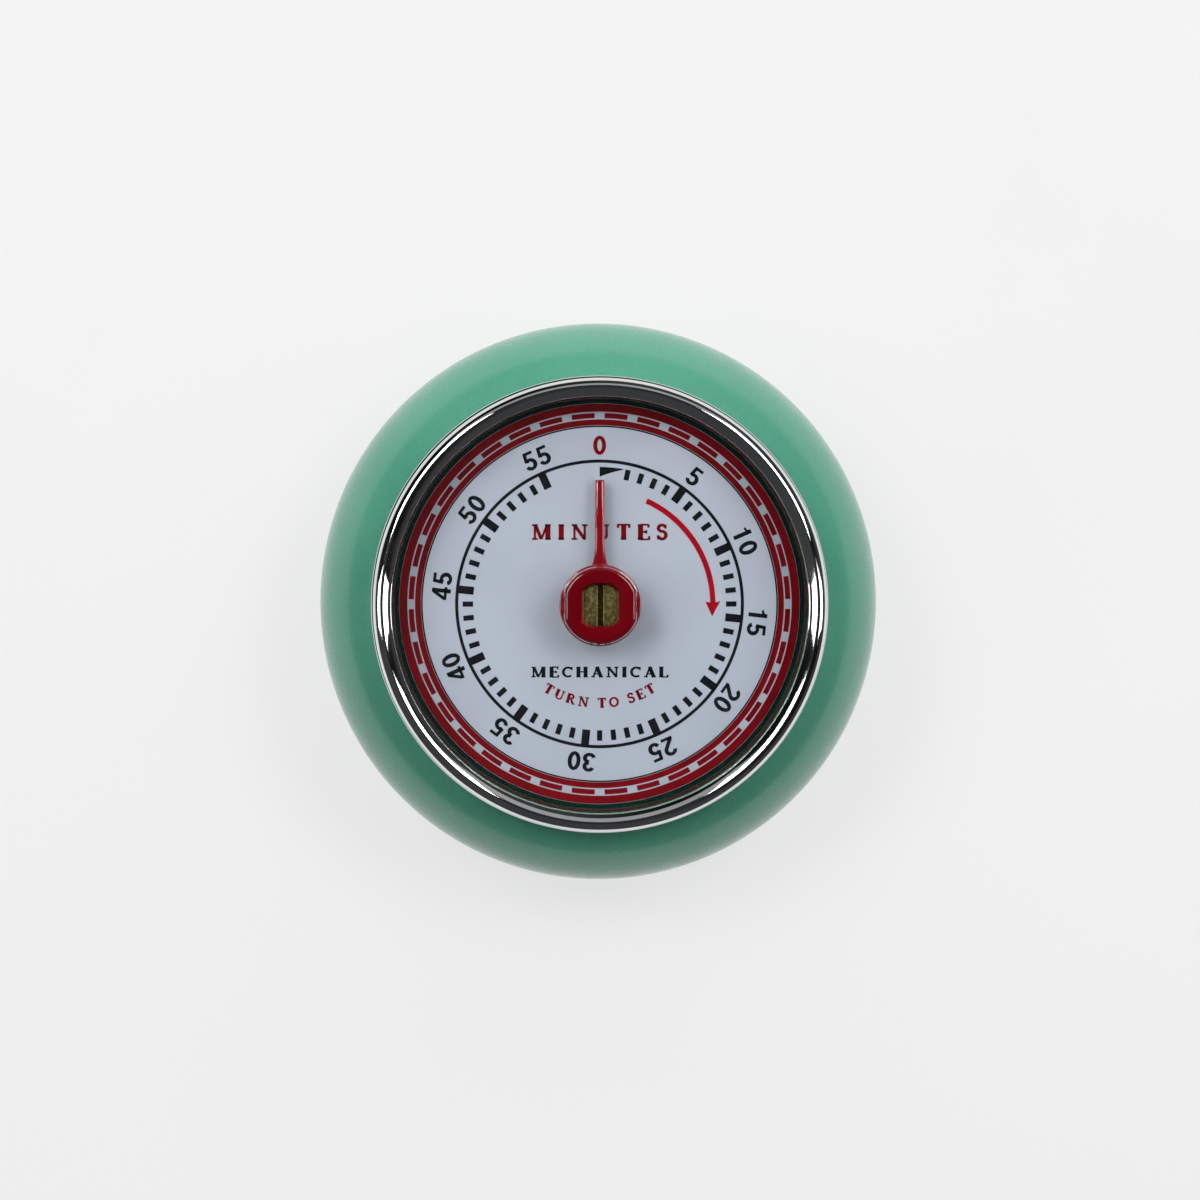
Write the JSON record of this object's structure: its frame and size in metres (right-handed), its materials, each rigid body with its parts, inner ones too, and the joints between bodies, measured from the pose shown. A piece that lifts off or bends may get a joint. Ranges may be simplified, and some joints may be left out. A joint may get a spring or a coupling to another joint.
{
  "type": "kitchen timer",
  "caption": "Round wind-up kitchen timer: tyre-shaped enamelled case, chrome setting ring with clear lens and red pointer, printed minute dial, magnetic back and wheel-train movement.",
  "frame": {"origin": "centre of the magnet's pole face, on the spindle's axis", "axes": "+Z out of the dial towards the reader, +Y towards the dial's zero, +X to the reader's right"},
  "size_m": [0.075, 0.075, 0.033],
  "materials": {
    "mint_enamel": "glossy stoved enamel on pressed steel",
    "chrome_plate": "bright chrome plate",
    "clear_lens": "clear moulded acrylic, polished",
    "red_plastic": "translucent ruby moulding, polished",
    "dial_print": "satin white lacquer with printed bands, ticks and numbers",
    "black_moulding": "fine spark-eroded texture",
    "brass": "turned and cut brass",
    "plate_steel": "zinc-plated pressed steel",
    "arbor_steel": "cut and burnished steel",
    "spring_steel": "blued spring steel",
    "bell_steel": "bright nickel-plated bell steel",
    "screw_steel": "zinc-plated",
    "ferrite": "ground sintered ferrite"
  },
  "bodies": {
    "case": {"case_shell": "mint_enamel", "back_cover": "black_moulding", "cover_screws": "screw_steel", "mount_ring": "black_moulding", "magnet_cup": "plate_steel", "magnet_ring": "ferrite", "magnet_rivet": "screw_steel", "dial": "dial_print", "dial_feet": "brass", "spindle_bush": "brass", "mainspring_stud": "arbor_steel", "front_plate": "plate_steel", "back_plate": "plate_steel", "plate_pillars": "brass", "pillar_nuts": "screw_steel", "movement_screws": "screw_steel", "hairspring_stud": "brass", "balance_bearings": "arbor_steel", "bell": "bell_steel", "bell_post": "arbor_steel", "bell_rivets": "screw_steel", "bell_screw": "screw_steel", "lever_studs": "arbor_steel", "lever_spring": "spring_steel"},
    "setting_ring": {"bezel": "chrome_plate", "bezel_wire": "spring_steel", "lens": "clear_lens", "lens_retaining_ring": "black_moulding", "pointer": "red_plastic", "spindle": "brass", "mainspring": "spring_steel", "timing_cam": "plate_steel", "clutch_spring": "spring_steel", "spindle_circlip": "spring_steel"},
    "great_wheel": {"great_wheel": "brass", "great_wheel_collar": "brass"},
    "second_wheel": {"second_wheel": "brass", "second_pinion": "arbor_steel"},
    "third_wheel": {"third_wheel": "brass", "third_pinion": "arbor_steel"},
    "escape_wheel": {"escape_wheel": "brass", "escape_pinion": "arbor_steel"},
    "pallet_lever": {"pallet_lever": "brass", "pallet_pins": "arbor_steel", "pallet_arbor": "arbor_steel"},
    "balance": {"balance_wheel": "brass", "balance_staff": "arbor_steel", "impulse_roller": "arbor_steel", "hairspring": "spring_steel", "hairspring_collet": "brass"},
    "alarm_wheel": {"alarm_star_wheel": "plate_steel", "alarm_pinion": "arbor_steel"},
    "hammer": {"hammer_arm": "plate_steel", "hammer_head": "arbor_steel", "hammer_arbor": "arbor_steel", "hammer_verge": "plate_steel"},
    "control_lever": {"control_lever": "plate_steel"}
  },
  "joints": [
    {"name": "setting_turn", "type": "hinge", "parent": "case", "child": "setting_ring", "pos_m": [0, 0, 0], "axis": [0, 0, -1], "range_deg": [0, 336], "deforming": ["mainspring"]},
    {"name": "great_wheel_turn", "type": "hinge", "parent": "case", "child": "great_wheel", "pos_m": [0, 0, 0], "axis": [0, 0, -1], "continuous": true},
    {"name": "second_wheel_turn", "type": "hinge", "parent": "case", "child": "second_wheel", "pos_m": [-0.01109, 0.0064, 0], "axis": [0, 0, -1], "continuous": true},
    {"name": "third_wheel_turn", "type": "hinge", "parent": "case", "child": "third_wheel", "pos_m": [-0.01266, -0.00469, 0], "axis": [0, 0, -1], "continuous": true},
    {"name": "escape_wheel_turn", "type": "hinge", "parent": "case", "child": "escape_wheel", "pos_m": [-0.00788, -0.01393, 0], "axis": [0, 0, -1], "continuous": true},
    {"name": "alarm_wheel_turn", "type": "hinge", "parent": "case", "child": "alarm_wheel", "pos_m": [0.01089, 0.00673, 0], "axis": [0, 0, -1], "continuous": true},
    {"name": "pallet_rock", "type": "hinge", "parent": "case", "child": "pallet_lever", "pos_m": [-0.00143, -0.01535, 0], "axis": [0, 0, -1], "range_deg": [-3, 3]},
    {"name": "balance_swing", "type": "hinge", "parent": "case", "child": "balance", "pos_m": [0.00501, -0.01677, 0], "axis": [0, 0, -1], "range_deg": [-135, 135], "stiffness_Nm_per_rad": 0.00000043, "deforming": ["hairspring"]},
    {"name": "hammer_swing", "type": "hinge", "parent": "case", "child": "hammer", "pos_m": [0.01876, 0.00531, 0], "axis": [0, 0, -1], "range_deg": [-4, 2]},
    {"name": "control_lift", "type": "hinge", "parent": "case", "child": "control_lever", "pos_m": [-0.0053, 0.01457, 0], "axis": [0, 0, -1], "range_deg": [-4, 0], "stiffness_Nm_per_rad": 0.0005, "springref_deg": 5.73, "deforming": ["lever_spring"]}
  ],
  "couplings": [
    {"joint": "great_wheel_turn", "follows": "setting_turn", "ratio": 1},
    {"joint": "second_wheel_turn", "follows": "setting_turn", "ratio": -7},
    {"joint": "third_wheel_turn", "follows": "setting_turn", "ratio": 49},
    {"joint": "escape_wheel_turn", "follows": "setting_turn", "ratio": -343},
    {"joint": "alarm_wheel_turn", "follows": "setting_turn", "ratio": -7}
  ]
}
